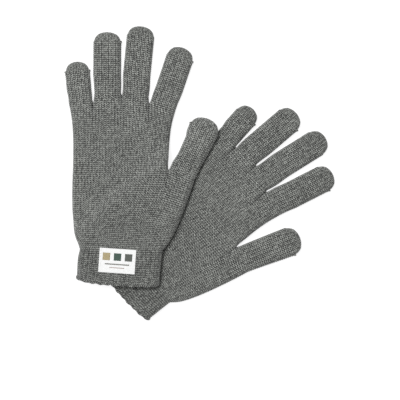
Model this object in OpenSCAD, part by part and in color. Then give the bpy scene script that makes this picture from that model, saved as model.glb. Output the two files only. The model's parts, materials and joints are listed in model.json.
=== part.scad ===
/* [Hand] */
// Width of the wrist where the palm meets the cuff, lying flat
wrist_w = 78.4; // [76:0.2:80]
// Width of the little finger, lying flat
little_w = 22.8; // [21.5:0.1:22.8]
// Width of the ring finger, lying flat
ring_w = 25.9; // [24.5:0.1:26]
// Width of the middle finger, lying flat
middle_w = 25.7; // [24.5:0.1:25.8]
// Width of the index finger, lying flat
index_w = 25.6; // [24.5:0.1:25.8]
// Width of the thumb, lying flat
thumb_w = 26; // [24.5:0.1:26.2]

/* [Finger lengths] */
// Little finger from its crotch to its tip
little_l = 39; // [34:0.5:42]
// Ring finger from its crotch to its tip
ring_l = 60.6; // [55:0.2:63]
// Middle finger from its crotch to its tip
middle_l = 68; // [62:0.5:71]
// Index finger from its crotch to its tip
index_l = 61.8; // [56:0.2:64]
// Thumb from its crotch to its tip
thumb_l = 59.2; // [54:0.2:60]

/* [Fabric] */
// Thickness of the knitted wall
wall = 1.6; // [1.2:0.1:1.8]
// Height of the palm and cuff, lying flat with the fabric relaxed
palm_t = 9; // [8.4:0.1:10]
// Height of a finger, lying flat with the fabric relaxed
finger_t = 8; // [7.6:0.1:8.4]
// How far the crown of a fingertip is rounded
tip_r = 11; // [9:0.5:12]

/* [Cuff] */
// Length of the ribbed cuff, without the overlocked hem
cuff_l = 26.9; // [25:0.1:28]
// Length of the overlocked hem
hem_l = 3; // [2:0.2:4]
// How far the hem stands out past the cuff on each side
hem_out = 0.5; // [0.2:0.1:1]
// How far the hem bows out at its middle
hem_bow = 3.2; // [1:0.2:4]
// Number of elastic threads knitted round the inside of the cuff
elastic_count = 4; // [2:1:5]
// Thickness of one elastic thread
elastic_t = 0.5; // [0.3:0.1:0.6]

/* [Label] */
// Length of the woven label, across the cuff
label_w = 35.3; // [30:0.5:38]
// Height of the woven label
label_h = 23.6; // [18:0.2:24]
// Thickness of the woven label
label_t = 0.6; // [0.4:0.1:1]
// Height of the woven blocks and lines on the label
motif_t = 0.2; // [0.2:0.1:0.4]

/* [Fit] */
// Gap between a finger and the palm at its fold line
fold_gap = 0.3; // [0.3:0.05:0.5]
// Distance of each finger's fold line past its crotch
fold_at = 5.5; // [5:0.1:6.5]
// Gap between the upper glove and the lower glove
stack_gap = 0.4; // [0.4:0.05:0.8]

/* [Hidden] */
fingers = [0, 1, 2, 3];
thumb = 4;
widths = [little_w, ring_w, middle_w, index_w, thumb_w];
lengths = [little_l, ring_l, middle_l, index_l, thumb_l];
cuff_seg = 12; // columns across the cuff
cuff_rows = 2 * (elastic_count + 1);
palm_seg = 10; // columns across the palm, and across the thumb's side of it
finger_seg = 6; // columns across one finger's width of the upper palm
tube_seg = 8; // columns across a finger
palm_rows = 8;
tube_rows = 6;
tip_rows = 4;
yoke = 3; // how far the lower palm runs past the thumb's crotch
yoke_w = 90.6; // width of the palm at the thumb's crotch
side_gap = 0.2; // from each crotch to the side of the finger beside it
crotch_wall = 1.8 * wall; // how far the inside of the palm stops short of each crotch
gusset = 0.27; // where the thumb's side of the palm starts, as a share of the wrist
square_edge = 5; // roundness of the palm's and cuff's side edges: higher is squarer
finger_edge = 3.4; // roundness of a finger's side edges
flat_share = 1.04; // how far the flat top of a row runs towards its edges
bow_power = 2.5; // how evenly a bowed hem curves: higher is flatter in the middle
drape_side = 62; // from the lower glove's middle line to the side where the drape starts
drape_end = 8; // from the lower glove's hem to where the drape starts
drape_run = 18; // length of the drape's slope
knuckle_rise = 24; // length of the crease under each crotch
knuckle_pull = 0.33; // how far the columns under a crotch start out towards it
crease = 0.45; // depth of those creases one row below the crotches, from 0 to 1
crease_from = 0.86; // share of the upper palm's length after which they show
crown_angle = 80; // the crown of a fingertip is rounded up to this angle
tip_flat = 0.4; // height left at the very tip, as a share of the finger's
label_at = [-2.6, -10.5]; // middle of the label in the upper glove's frame
label_turn = -4;
stitch = [1.6, 0.6, 0.3]; // size of one visible stitch at the label's ends
stitch_inset = 1; // from the label's end to the middle of its stitches
stitch_half = 3; // stitches on each side of the middle one
grey = [0.47, 0.47, 0.45];
elastic_white = [0.85, 0.85, 0.82];
elastic_gap = 0.1; // between an elastic loop and the inside of the cuff
hem_wall = wall + 0.6; // the hem's edging makes it thicker inwards

// A glove: [wrist centre, heading, upper?, crotches, leans, lengthening of each finger,
//   pull of the outer edges and columns, shift of the cuff's end sideways and outwards, hem tilt].
// Crotches run little-ring, ring-middle, middle-index, thumb, in the glove's own frame.
LEFT = [[-74.4, -72.4], 1, true, [[-29.4, 139], [-2.5, 146.3], [23.9, 139.1], [43.4, 76]],
  [-6, -0.7, 4.6, 17.7, 24], [1, -0.6, -1, -2.3, 0],
  [[[-48.5, 18], [-48, 50]], [[24, 22], [42, 48]], [[49, 8], [60, 42]],
   [[-47, 100], [-47.5, 122]], [[43.2, 97], [42.6, 115]]], [-2.7, 2.3], 3];
RIGHT = [[-53.6, -92.7], 50, false, [[-33, 142], [-7.5, 145.6], [17.4, 137], [39.4, 82.3]],
  [-8.5, -0.5, 8, 13, 19.5], [-1, 0.6, 1, 2.2, 0],
  [[[-48.5, 18], [-48, 50]], [[22, 22], [37, 50]], [[48.2, 6], [57.4, 42]],
   [[-49, 104], [-51, 124]], [[39, 97], [38.3, 115]]], [-0.6, -1.9], -1.5];

function mix(a, b, t) = a + (b - a) * t;
function unit(v) = v / norm(v);
function ahead(a) = [sin(a), cos(a)];
function across(a) = [cos(a), -sin(a)];
function at(g, p) = g[0] + p.x * across(g[1]) + p.y * ahead(g[1]);
function under(p) = [(p - RIGHT[0]) * across(RIGHT[1]), (p - RIGHT[0]) * ahead(RIGHT[1])];
function ease(t) = let (c = min(1, max(0, t))) c * c * (3 - 2 * c);
stack = palm_t + stack_gap;
// Height of the upper glove's underside where it is draped over the lower one.
function lift(p) = let (q = under(p),
    inside = min(q.x + drape_side, q.y + cuff_l + hem_l + drape_end))
  stack * ease(inside / drape_run + 1);
function put(g, p, z) = let (w = at(g, p)) [w.x, w.y, z + (g[2] ? lift(w) : 0)];
function curve(a, b, c, d, t) = let (u = 1 - t)
  u * u * u * a + 3 * u * u * t * b + 3 * u * t * t * c + t * t * t * d;
function spread(c, n) = (1 - cos(180 * c / n)) / 2;
function arch(x, power) =
  min(1, flat_share * sqrt(max(0, 1 - pow(abs(x), power))));

// A row across the fabric tube: [knots, height, how far it has parted into lobes,
//   columns a lobe, height of its middle, bow].
function columns(r) = (len(r[0]) - 1) * r[3];
function lobe(r, k) = min(len(r[0]) - 2, floor(k / r[3]));
function along(r, k) = spread(k - lobe(r, k) * r[3], r[3]);
function straight(r, k) = mix(r[0][lobe(r, k)], r[0][lobe(r, k) + 1], along(r, k));
function share(r, k) = norm(straight(r, k) - r[0][0]) / norm(r[0][len(r[0]) - 1] - r[0][0]);
function spot(r, k) =
  straight(r, k) - [0, r[5] * (1 - pow(abs(2 * share(r, k) - 1), bow_power))];
function lobe_power(r, k) = len(r[0]) == 3 && lobe(r, k) == 0 ? square_edge : finger_edge;
function fullness(r, k) = k == 0 || k == columns(r) ? 0 : 
  mix(arch(2 * share(r, k) - 1, square_edge), arch(2 * along(r, k) - 1, lobe_power(r, k)), r[2]);
function row_points(g, r) = [for (side = [1, -1]) for (k = [0:columns(r)])
  put(g, spot(r, k), r[4] + side * r[1] * fullness(r, k) / 2)];
function points_of(g, rows) = [for (r = rows) each row_points(g, r)];

// Index of the point under column k of a row that starts at point a and has n columns.
function below(a, n, k, parted, s) = let (joined = k == 0 || k == n || (parted && k % s == 0))
  a + (joined ? k : n + 1 + k);
// The two triangles between an edge on one row and the same edge on the next.
function band(a, b, flip) = flip ? [[a[1], b[1], b[0]], [a[1], b[0], a[0]]]
  : [[a[0], b[0], b[1]], [a[0], b[1], a[1]]];
function edge(a, n, k, low, parted, s) = low
  ? [below(a, n, k, parted, s), below(a, n, k + 1, parted, s)] : [a + k, a + k + 1];
function skin(n, rows, from, s, inside) = [for (i = [0:rows - 2]) for (k = [0:n - 1])
  for (low = [false, true]) let (a = from + i * 2 * (n + 1), parted = s > 0 && i == rows - 2)
  each band(edge(a, n, k, low, false, s), edge(a + 2 * (n + 1), n, k, low, parted, s),
    low != inside)];
function rim(n, a, b, end) = [for (k = [0:n - 1]) for (low = [false, true])
  each band(edge(a, n, k, low, false, 0), edge(b, n, k, low, false, 0), low != end)];
function cap(n, a, inside) = [for (k = [0:n - 1])
  each [for (f = band(edge(a, n, k, false, false, 0), edge(a, n, k, true, false, 0), inside))
    if (f[0] != f[1] && f[1] != f[2] && f[0] != f[2]) f]];
// The faces from a parted row to the first row of one lobe.
function fork(n, a, s, j, b, inside) = [for (c = [0:s - 1]) for (low = [false, true])
  each band(edge(a, n, j * s + c, low, true, s), edge(b, s, c, low, false, 0), low != inside)];

// A tube of fabric open at both ends.
module sleeve(g, outer, inner) {
  n = columns(outer[0]);
  rows = len(outer);
  step = 2 * (n + 1);
  half = rows * step;
  polyhedron(
    points = [each points_of(g, outer), each points_of(g, inner)],
    faces = [each skin(n, rows, 0, 0, false), each skin(n, rows, half, 0, true),
      each rim(n, 0, half, true), each rim(n, half - step, 2 * half - step, false)]);
}

// A tube of fabric closed at its far end.
module sock(g, outer, inner) {
  n = columns(outer[0]);
  rows = len(outer);
  step = 2 * (n + 1);
  half = rows * step;
  polyhedron(
    points = [each points_of(g, outer), each points_of(g, inner)],
    faces = [each skin(n, rows, 0, 0, false), each skin(n, rows, half, 0, true),
      each rim(n, 0, half, true), each cap(n, half - step, false),
      each cap(n, 2 * half - step, true)]);
}

// A tube of fabric that parts into lobes, each open at its end.
module branched(g, outer, inner, outer_lobes, inner_lobes) {
  s = outer[0][3];
  n = columns(outer[0]);
  rows = len(outer);
  step = 2 * (n + 1);
  lobe_step = 2 * (s + 1);
  lobe_rows = len(outer_lobes[0]);
  lobe_block = lobe_rows * lobe_step;
  trunk = rows * step;
  half = trunk + len(outer_lobes) * lobe_block;
  polyhedron(
    points = [each points_of(g, outer), for (l = outer_lobes) each points_of(g, l),
      each points_of(g, inner), for (l = inner_lobes) each points_of(g, l)],
    faces = [each skin(n, rows, 0, s, false), each skin(n, rows, half, s, true),
      each rim(n, 0, half, true),
      for (j = [0:len(outer_lobes) - 1]) let (a = trunk + j * lobe_block)
        each [each fork(n, trunk - step, s, j, a, false),
          each fork(n, half + trunk - step, s, j, half + a, true),
          each skin(s, lobe_rows, a, 0, false), each skin(s, lobe_rows, half + a, 0, true),
          each rim(s, a + lobe_block - lobe_step, half + a + lobe_block - lobe_step, false)]]);
}

function inset(k, w) = let (last = len(k) - 1, d = unit(k[last] - k[0]))
  [k[0] + w * d, if (last > 1) for (i = [1:last - 1]) k[i], k[last] - w * d];
function inner(r, w) = [inset(r[0], w), r[1] - 2 * w, r[2], r[3], r[4], r[5]];
// The inside of a parted row sits lower at each crotch, so the crotch has a wall too.
function inner_crotch(r) = let (k = inset(r[0], wall), last = len(k) - 1)
  [[for (i = [0:last]) i == 0 || i == last ? k[i] : k[i] - [0, crotch_wall]],
    r[1] - 2 * wall, 1, r[3], r[4], 0];

function palm_inside(rows) = [for (i = [0:palm_rows])
  i == palm_rows ? inner_crotch(rows[i]) : inner(rows[i], wall)];

// Cuff, from its end (0) to the wrist (1).
function cuff_end(g) = let (c = [g[7].x, -cuff_l - g[7].y])
  [for (s = [-1, 1]) c + s * wrist_w / 2 * across(g[8])];
function wrist(g) = [[-wrist_w / 2, 0], [wrist_w / 2, 0]];
function cuff_row(g, t) = [[for (i = [0, 1]) mix(cuff_end(g)[i], wrist(g)[i], t)],
  palm_t, 0, cuff_seg, palm_t / 2, hem_bow * (1 - t)];
module cuff(g) {
  rows = [for (i = [0:cuff_rows]) cuff_row(g, i / cuff_rows)];
  sleeve(g, rows, [for (r = rows) inner(r, wall)]);
}
module cuff_hem(g) {
  k = cuff_end(g);
  down = -hem_l * ahead(g[8]);
  wide = hem_out * across(g[8]);
  rows = [for (i = [0:2]) let (out = sin(30 + 60 * i) * [-1, 1]) [[for (e = [0, 1])
    k[e] + out[e] * wide + down * (2 - i) / 2], palm_t, 0, cuff_seg, palm_t / 2, hem_bow]];
  sleeve(g, rows, [for (r = rows) inner(r, hem_wall)]);
}
module cuff_elastic(g) {
  for (i = [1:elastic_count]) {
    t = i / (elastic_count + 1);
    band_rows = [for (e = [-0.5, 0.5]) cuff_row(g, t + e * elastic_t / cuff_l)];
    sleeve(g, [for (r = band_rows) inner(r, wall + elastic_gap)],
      [for (r = band_rows) inner(r, wall + elastic_gap + elastic_t)]);
  }
}

// Where each finger's own tube starts: its middle on the line through its crotch.
function side(f) = f == 0 || f == 1 ? -1 : 1;
function crotch(g, f) = g[3][f == 0 ? 0 : f == 1 || f == 2 ? 1 : f == 3 ? 2 : 3];
function root(g, f) = crotch(g, f) + side(f) * (widths[f] / 2 + side_gap) * across(g[4][f]);
function tube_row(g, f, s, w, t) = let (c = root(g, f) + s * ahead(g[4][f]))
  [[for (e = [-1, 1]) c + e * w / 2 * across(g[4][f])], t, 1, tube_seg, finger_t / 2, 0];
function stub_row(g, f, s) = let (r = tube_row(g, f, s, widths[f], finger_t))
  [r[0], r[1], 1, finger_seg, r[4], 0];
function finger_rows(g, f, w) = let (long = lengths[f] + g[5][f], half_w = widths[f] / 2 - w,
    start = fold_at + fold_gap, crown = tip_r - w)
  [for (i = [0:tube_rows])
     tube_row(g, f, mix(start, long - tip_r, i / tube_rows), 2 * half_w, finger_t - 2 * w),
   for (i = [1:tip_rows]) let (a = crown_angle * i / tip_rows)
     tube_row(g, f, long - tip_r + crown * sin(a), 2 * half_w * cos(a),
       (finger_t - 2 * w) * mix(tip_flat, 1, cos(a)))];
module finger(g, f) {
  sock(g, finger_rows(g, f, 0), finger_rows(g, f, wall));
}

// The five-finger part of the palm, with the thumb's stub.
function thumb_line(g) = let (t = g[3][3])
  [[t.x - yoke_w, t.y], t, t + (thumb_w + 2 * side_gap) * across(g[4][thumb])];
function lower_row(g, t) = let (w = wrist(g), e = thumb_line(g), c = g[6])
  [[curve(w[0], c[0][0], c[0][1], e[0], t),
    curve([gusset * wrist_w, 0], c[1][0], c[1][1], e[1], t),
    curve(w[1], c[2][0], c[2][1], e[2], t)], palm_t, max(0, 5 * t - 4), palm_seg, palm_t / 2, 0];
function yoke_knots(g, s) = [thumb_line(g)[0] + [0, s], thumb_line(g)[1] + [-fold_gap, s]];
function yoke_row(g, s) = [yoke_knots(g, s), palm_t, 0, palm_seg, palm_t / 2, 0];
function thumb_row(g, s) =
  let (r = tube_row(g, thumb, s, thumb_w, mix(palm_t, finger_t, s / fold_at)))
  [r[0], r[1], 1, palm_seg, r[1] / 2, 0];
module lower_palm(g) {
  rows = [for (i = [0:palm_rows]) lower_row(g, i / palm_rows)];
  lobes = [[for (i = [1, 2]) yoke_row(g, yoke * i / 2)],
    [for (i = [1, 2]) thumb_row(g, fold_at * i / 2)]];
  branched(g, rows, palm_inside(rows), lobes, [for (l = lobes) [for (r = l) inner(r, wall)]]);
}

// The four-finger part of the palm, with the stubs of the four fingers.
function knuckles(g) = [crotch(g, 0) - (little_w + 2 * side_gap) * across(g[4][0]),
  g[3][0], g[3][1], g[3][2], crotch(g, 3) + (index_w + 2 * side_gap) * across(g[4][3])];
function upper_row(g, t) = let (b = yoke_knots(g, yoke), e = knuckles(g), c = g[6])
  [[curve(b[0], c[3][0], c[3][1], e[0], t),
    for (i = [1:3]) let (k = mix(b[0], b[1], i / 4))
      curve(k, mix(k, e[i], knuckle_pull), e[i] - [0, knuckle_rise], e[i], t),
    curve(b[1], c[4][0], c[4][1], e[4], t)],
    palm_t, t == 1 ? 1 : t > crease_from ? crease : 0, finger_seg, palm_t / 2, 0];
module upper_palm(g) {
  rows = [for (i = [0:palm_rows]) upper_row(g, i / palm_rows)];
  lobes = [for (f = fingers) [for (i = [1, 2]) stub_row(g, f, fold_at * i / 2)]];
  branched(g, rows, palm_inside(rows), lobes, [for (l = lobes) [for (r = l) inner(r, wall)]]);
}

// The woven label on the upper glove, across the wrist line.
module on_label(z) {
  translate(concat(at(LEFT, label_at), stack + palm_t + z))
    rotate([0, 0, label_turn])
      children();
}
module plate(x, y, w, h, t) {
  translate([x - w / 2, y - h / 2, 0])
    cube([w, h, t]);
}
module right_cuff() {
  color(grey) cuff(RIGHT);
}
module right_cuff_hem() {
  color(grey) cuff_hem(RIGHT);
}
module right_cuff_elastic() {
  color(elastic_white) cuff_elastic(RIGHT);
}
module right_lower_palm() {
  color(grey) lower_palm(RIGHT);
}
module right_upper_palm() {
  color(grey) upper_palm(RIGHT);
}
module right_little_finger() {
  color(grey) finger(RIGHT, 0);
}
module right_ring_finger() {
  color(grey) finger(RIGHT, 1);
}
module right_middle_finger() {
  color(grey) finger(RIGHT, 2);
}
module right_index_finger() {
  color(grey) finger(RIGHT, 3);
}
module right_thumb() {
  color(grey) finger(RIGHT, thumb);
}
module left_cuff() {
  color(grey) cuff(LEFT);
}
module left_cuff_hem() {
  color(grey) cuff_hem(LEFT);
}
module left_cuff_elastic() {
  color(elastic_white) cuff_elastic(LEFT);
}
module left_lower_palm() {
  color(grey) lower_palm(LEFT);
}
module left_upper_palm() {
  color(grey) upper_palm(LEFT);
}
module left_little_finger() {
  color(grey) finger(LEFT, 0);
}
module left_ring_finger() {
  color(grey) finger(LEFT, 1);
}
module left_middle_finger() {
  color(grey) finger(LEFT, 2);
}
module left_index_finger() {
  color(grey) finger(LEFT, 3);
}
module left_thumb() {
  color(grey) finger(LEFT, thumb);
}
module left_label() {
  color([0.93, 0.93, 0.9])
    on_label(0)
      plate(0, 0, label_w, label_h, label_t);
}
module left_label_motif() {
  block = label_h * 0.3;
  on_label(label_t) {
    color([0.72, 0.58, 0.38]) plate(-1.5 * block, 0.16 * label_h, block, block, motif_t);
    color([0.12, 0.25, 0.18]) plate(0, 0.16 * label_h, block, block, motif_t);
    color([0.3, 0.36, 0.33]) plate(1.5 * block, 0.16 * label_h, block, block, motif_t);
    color([0.3, 0.33, 0.3]) plate(0, -0.14 * label_h, 0.66 * label_w, 0.05 * label_h, motif_t);
    color([0.55, 0.3, 0.2]) plate(0, -0.28 * label_h, 0.4 * label_w, 0.03 * label_h, motif_t);
  }
}
module left_label_stitches() {
  color([0.9, 0.9, 0.88])
    on_label(label_t)
      for (e = [-1, 1])
        for (i = [-stitch_half:stitch_half])
          plate(e * (label_w / 2 - stitch_inset), i * label_h / (2 * stitch_half + stitch.x),
            stitch.x, stitch.y, stitch.z);
}

right_cuff();
right_cuff_hem();
right_cuff_elastic();
right_lower_palm();
right_upper_palm();
right_little_finger();
right_ring_finger();
right_middle_finger();
right_index_finger();
right_thumb();
left_cuff();
left_cuff_hem();
left_cuff_elastic();
left_lower_palm();
left_upper_palm();
left_little_finger();
left_ring_finger();
left_middle_finger();
left_index_finger();
left_thumb();
left_label();
left_label_motif();
left_label_stitches();
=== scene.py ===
"""A pair of machine-knitted gloves with ribbed cuffs, one laid across the other.

Each glove is knitted as five strips, one a finger, that run side by side from the cuff to the
fingertips. A strip is a lattice of stitches: wales (columns) across it and courses (rows) along it.
"""
import json
from math import pi
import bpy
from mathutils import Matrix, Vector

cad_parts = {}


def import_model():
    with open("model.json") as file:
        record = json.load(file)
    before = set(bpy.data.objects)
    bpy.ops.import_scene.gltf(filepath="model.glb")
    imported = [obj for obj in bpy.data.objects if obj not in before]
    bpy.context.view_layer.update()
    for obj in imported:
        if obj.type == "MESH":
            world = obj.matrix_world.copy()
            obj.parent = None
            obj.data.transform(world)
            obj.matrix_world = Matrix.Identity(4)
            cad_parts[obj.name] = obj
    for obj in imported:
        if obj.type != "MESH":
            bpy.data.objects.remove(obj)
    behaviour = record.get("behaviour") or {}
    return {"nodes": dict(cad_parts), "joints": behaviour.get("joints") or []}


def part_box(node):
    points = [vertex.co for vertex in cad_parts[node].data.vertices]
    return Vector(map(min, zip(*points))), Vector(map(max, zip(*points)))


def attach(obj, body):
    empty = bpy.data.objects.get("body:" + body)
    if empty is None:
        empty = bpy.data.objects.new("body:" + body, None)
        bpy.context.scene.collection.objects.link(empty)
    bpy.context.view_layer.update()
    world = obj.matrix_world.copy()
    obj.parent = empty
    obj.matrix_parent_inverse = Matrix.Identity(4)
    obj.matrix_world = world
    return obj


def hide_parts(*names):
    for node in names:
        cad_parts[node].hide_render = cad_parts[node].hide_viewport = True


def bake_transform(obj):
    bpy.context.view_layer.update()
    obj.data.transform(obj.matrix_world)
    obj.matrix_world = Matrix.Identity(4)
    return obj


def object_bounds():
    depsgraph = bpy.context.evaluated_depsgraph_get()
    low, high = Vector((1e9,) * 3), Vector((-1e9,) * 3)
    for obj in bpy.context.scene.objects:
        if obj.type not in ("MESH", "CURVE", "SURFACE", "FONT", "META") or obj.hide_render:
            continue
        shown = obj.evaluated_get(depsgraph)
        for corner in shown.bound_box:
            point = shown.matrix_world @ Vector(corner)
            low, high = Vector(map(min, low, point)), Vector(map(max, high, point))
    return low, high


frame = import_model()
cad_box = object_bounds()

from types import SimpleNamespace

import bpy
import numpy as np
from mathutils import Vector
from mathutils.bvhtree import BVHTree

# ---------------------------------------------------------------- named values, lengths in metres
FINGERS = ("little_finger", "ring_finger", "middle_finger", "index_finger", "thumb")
THUMB = 4                        # the thumb's place in that list
FACES = ("top", "bottom")

# The knit
WALES = (8, 9, 9, 9, 9)          # stitch columns on one face of each strip
COURSE = 0.0019                  # height of one row of stitches
WALL = 0.0016                    # thickness of the fabric
ACROSS, ALONG = 6, 4             # mesh columns and rows in one stitch
STITCH_H = 0.0007                # depth of the valleys between the legs of the stitches
SLANT = 0.9                      # courses that a leg climbs from the middle of its wale to the side
MIDDLE = 0.45                    # height of the yarn where a stitch's two legs meet
FULLNESS = 0.6                   # of the legs: 1 is a sine, less is rounder

# The cuffs
CUFF_STITCH = 0.6                # share of the stitches' depth where the elastic draws them in
CUFF_STITCH_END = 16             # courses above the wrist where the stitches have their full depth
RIB = 2                          # wales in one rib of the cuff
RIB_H = 0.0005                   # depth of the grooves between the ribs
RIB_PAINTED_SHADE = 0.16                 # painted shade in those grooves: how much darker they are drawn
RIB_END = 2.5                    # courses over which they fade out at the wrist
BOW_POWER = 2.5                  # shape of the bowed end of a cuff: 2 is a parabola
BOWS = {"left": -0.0011, "right": 0.0}         # change to the depth of that bow
END_L = {"left": 0.0, "right": 0.0009}         # extra length of the cuff
CORNERS = {"left": 0.0012, "right": 0.0004}    # rounding of the cuff's end at its two sides
CORNER_POWER = 12
EDGE_WAVE = 0.00035              # waviness of the overlocked edge
WAVES = (1.55, 0.83)             # its two frequencies, in radians a wale
WAVE_2 = 0.6                     # height of the second, as a share of the first
WAVE_POWER = 8                   # how late they die out towards the cuff's two sides
HEM_T, HEM_L = 0.0022, 0.0027    # thickness and length of the overlocked edge
HEM_OUT = 0.0003                 # how far it stands out from the fabric, and half its lap on to it
HEM_SIDES = 16                   # points round its section
HEM_SLANT = 0.35                 # of its yarn
HEM_GROOVE = 0.16                # depth between its wraps, as a share of its thickness
HEM_WRAP = 0.8                   # roundness of a wrap: less is rounder
HEM_PAINTED_SHADE = (0.88, 0.46)         # painted shade of its yarn, given as a depth between the wraps and on them: darker in the grooves between the wraps, and the whole hem darker than the tops of the knit's stitches
ELASTICS, ELASTIC_R = 4, 0.00025                # the elastic threads, and their radius
ELASTIC_IN = 1.5                 # radii from the fabric's inside to a thread's middle
ELASTIC_SIDES = 8

# The palm and the fingers
SOFT_H = 0.00045                 # slow rise and fall of the upper face
SOFT_WAVES = (150, 61, 118, 47)  # how quickly that changes, in radians a metre
SEAT = 0.28                      # height of the side edges, as a share of the thickness
EDGE_R = 0.0055                  # roundness of the sides
CREASE_R = 0.0034                # roundness beside the creases under the crotches
CREASE_L = 0.021                 # length of those creases
CREASE = 0.86                    # their depth at the crotch, from 0 to 1
THUMB_CREASE = 0.55
CREASE_POWER = 1.5
OPEN_COURSES = 5                 # courses above a crotch where a side has its full roundness
THIN_COURSES = 4                 # courses over which the palm thins to the fingers
YOKE_COURSES = 2                 # from the thumb's crotch up to the yoke
STUB = 0.0055                    # from a finger's root to its fold line
STUB_COURSES = 3
SIDE_GAP = 0.0002                # from each crotch to the side of the finger beside it
TIP_R = 0.011                    # length of a fingertip's rounded crown
TIP_COURSES = 7
SHOULDER = 0.0007                # step in on each side where a fingertip's crown begins
SHOULDER_L = 0.25                # share of the crown over which that step is made
EAR = 0.0013                     # little corners that the closing yarn leaves at some shoulders
EAR_L, EAR_W = 0.0017, 0.2       # their length, and their width as a share of half the finger
EAR_OUT, EAR_UP = 0.5, 0.8       # the way they point
EARS = {"left": {0: (-1, 1), 1: (1,), 3: (1,), 4: (-1,)},
        "right": {0: (1,), 1: (1,), 3: (1,), 4: (1,)}}

# Where relaxed fabric lies beyond the CAD's plan, or short of it
SWELL = 0.0005                   # at every side
SWELL_COURSES = 8                # over which that begins above a crotch
FLARES = {"left": ((0.0009, -0.0004), (0.0009, -0.0005), (0.0008, -0.0005), (-0.0006, 0.0009),
                   (0.0008, 0.0022)),
          "right": ((0.0009, -0.0004), (0.0, 0.0004), (0.0008, -0.0009), (-0.0008, 0.0008),
                    (0.0008, 0.0008))}         # at the two sides of each finger
FLARE_RUNS = (0.3, 0.3, 0.3, 0.3, 1.0)         # share of the finger over which those begin
THUMB_WAIST = 0.0018             # the left thumb's, on its left
WAIST_IN, WAIST_OUT, WAIST_OUT_L = 0.3, 0.66, 0.2   # shares: it is full, starts to go, over how much
NOTCH = 0.0013                   # on the left of the left glove, between its cuff and palm
NOTCH_UP, NOTCH_COURSES = 2, 4.0               # courses above the wrist, and in its half length
TRIMS = {"left": (0.0008, 0.0009, 0.0009, 0, 0),
         "right": (0, 0, -0.0006, 0.0003, 0)}  # off the length of each crown

# How the upper glove is draped over the lower one
DRAPE_SIDE, DRAPE_END = 0.062, 0.0379          # from the middle of the lower wrist to the edges
DRAPE_RUN = 0.018                # length of the slope beside them

# The lines between the strips
SMOOTH, SMOOTH_LONG = 6, 8       # passes over a line that was read from the CAD
THUMB_LINE = ((0.0018, 0.28), (-0.0019, -0.38))  # its handles: metres aside, share of its height
FINGER_LINE, FINGER_LINE_L = 0.33, 0.024       # its handles: share of the line, and metres
INSIDE = {0: -0.010, 4: 0.008}   # from the nearest crotch to where the palm's edge is sought from

SHARES = np.concatenate([[0], np.cumsum(WALES)])
ALL_WALES = SHARES[-1]
FOUR_WALES = SHARES[THUMB]
PALM_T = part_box("right_cuff")[1].z
FINGER_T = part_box("right_ring_finger")[1].z
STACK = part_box("left_cuff")[1].z - PALM_T
JOINTS = {j["name"]: j for j in frame["joints"]}


# ---------------------------------------------------------------- small helpers
def mix(a, b, t):
    return a + (b - a) * t


def ease(t):
    t = np.clip(t, 0, 1)
    return t * t * (3 - 2 * t)


def unit(v):
    return v / np.linalg.norm(v)


def bezier(a, b, c, d, t):
    t = np.asarray(t)[:, None]
    s = 1 - t
    return s**3 * a + 3 * s * s * t * b + 3 * s * t * t * c + t**3 * d


def smooth_line(line, passes):
    """Takes the small corners out of a line of points, and keeps its ends."""
    line = line.copy()
    for _ in range(passes):
        line[1:-1] = (line[:-2] + 2 * line[1:-1] + line[2:]) / 4
    return line


# ---------------------------------------------------------------- reading the frame
SAME_PLACE = 2e-5                # two points nearer than this are one
FARTHEST = 0.075                 # more than any distance that is looked for
HALVINGS = 22


def node_points(name):
    mesh = frame["nodes"][name].data
    co = np.empty(len(mesh.vertices) * 3, np.float32)
    mesh.vertices.foreach_get("co", co)
    return np.unique(np.round(co.reshape(-1, 3).astype(float), 6), axis=0)


def shared_line(a, b):
    """The two points farthest apart, seen from above, that two neighbouring nodes share."""
    pa, pb = node_points(a), node_points(b)
    near = np.linalg.norm(pb[:, None] - pa[None], axis=2).min(1) < SAME_PLACE
    xy = pb[near, :2]
    gaps = np.linalg.norm(xy[:, None] - xy[None], axis=2)
    i, j = np.unravel_index(gaps.argmax(), gaps.shape)
    return xy[i], xy[j]


def outline(name):
    """A test of whether a point, seen from above, is on a node."""
    mesh = frame["nodes"][name].data
    tree = BVHTree.FromPolygons([v.co for v in mesh.vertices], [p.vertices for p in mesh.polygons])
    down = Vector((0, 0, -1))
    return lambda p: tree.ray_cast(Vector((p[0], p[1], 1)), down)[0] is not None


def reach(on_node, start, direction):
    """How far a node runs from a point on it, in one direction."""
    low, high = 0.0, FARTHEST
    for _ in range(HALVINGS):
        middle = (low + high) / 2
        if on_node(start + direction * middle):
            low = middle
        else:
            high = middle
    return low


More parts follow.
